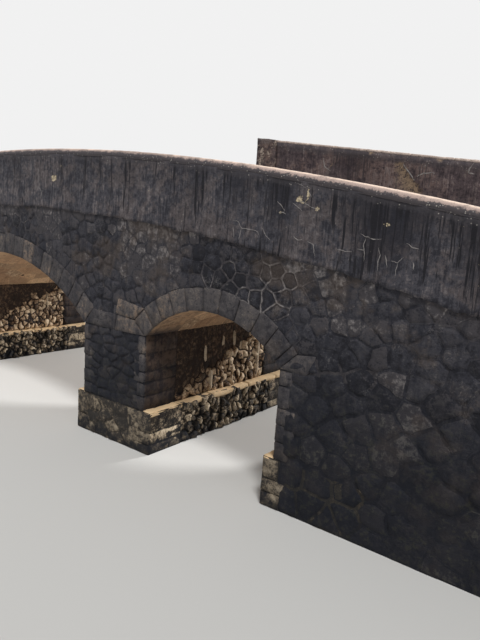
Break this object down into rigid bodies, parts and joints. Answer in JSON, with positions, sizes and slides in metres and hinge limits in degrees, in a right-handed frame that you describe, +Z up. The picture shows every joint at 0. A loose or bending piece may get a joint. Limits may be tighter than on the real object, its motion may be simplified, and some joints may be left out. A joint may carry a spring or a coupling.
{
  "type": "stone arch bridge",
  "caption": "Humpbacked stone road bridge: segmental arches with dressed rings on stepped footings, rubble walls, rendered parapet with rounded coping, tall walls on the far side.",
  "frame": {"origin": "midway between the two faces, under the crown of the main arch, at the foot of the piers (low water)", "axes": "+X along the road, to the right as seen from the pictured (near) face; +Y across the road, away from the near face; +Z up"},
  "size_m": [28, 5.04, 6.85],
  "materials": {
    "wet_footing_stone": "damp, dark, algae-stained stone blocks",
    "rubble_stone": "rough grey-brown rubble with raised pale lime pointing",
    "dressed_stone": "dressed dark grey stone, weathered",
    "vault_stone": "rough stone soffit with lime streaks",
    "earth_fill": "packed earth with broken stone",
    "road_surface": "worn gravel and setts",
    "grey_render": "weathered lime render with dark run-off streaks",
    "coping_stone": "pale pinkish coping with lichen",
    "brown_render": "mossy brown-purple weathered render"
  },
  "bodies": {
    "root": {"footing_abutment_left": "wet_footing_stone", "footing_pier_left": "wet_footing_stone", "footing_pier_right": "wet_footing_stone", "footing_abutment_right": "wet_footing_stone", "abutment_left": "rubble_stone", "pier_left": "rubble_stone", "pier_right": "rubble_stone", "abutment_right": "rubble_stone", "springer_abutment_left": "dressed_stone", "springer_pier_left": "dressed_stone", "springer_pier_right": "dressed_stone", "springer_abutment_right": "dressed_stone", "ring_left_near": "dressed_stone", "ring_main_near": "dressed_stone", "ring_right_near": "dressed_stone", "ring_left_far": "dressed_stone", "ring_main_far": "dressed_stone", "ring_right_far": "dressed_stone", "vault_left": "vault_stone", "vault_main": "vault_stone", "vault_right": "vault_stone", "spandrel_left_near": "rubble_stone", "spandrel_centre_near": "rubble_stone", "spandrel_right_near": "rubble_stone", "spandrel_left_far": "rubble_stone", "spandrel_centre_far": "rubble_stone", "spandrel_right_far": "rubble_stone", "wing_wall_left_near": "rubble_stone", "wing_wall_right_near": "rubble_stone", "wing_wall_left_far": "rubble_stone", "wing_wall_right_far": "rubble_stone", "fill_left": "earth_fill", "fill_centre": "earth_fill", "fill_right": "earth_fill", "roadway": "road_surface", "parapet_near": "grey_render", "parapet_far": "grey_render", "coping_near": "coping_stone", "coping_far": "coping_stone", "tall_wall_left": "brown_render", "tall_wall_right": "brown_render", "tall_coping_left": "coping_stone", "tall_coping_right": "coping_stone", "pilaster_left": "brown_render", "pilaster_right": "brown_render"}
  },
  "joints": []
}
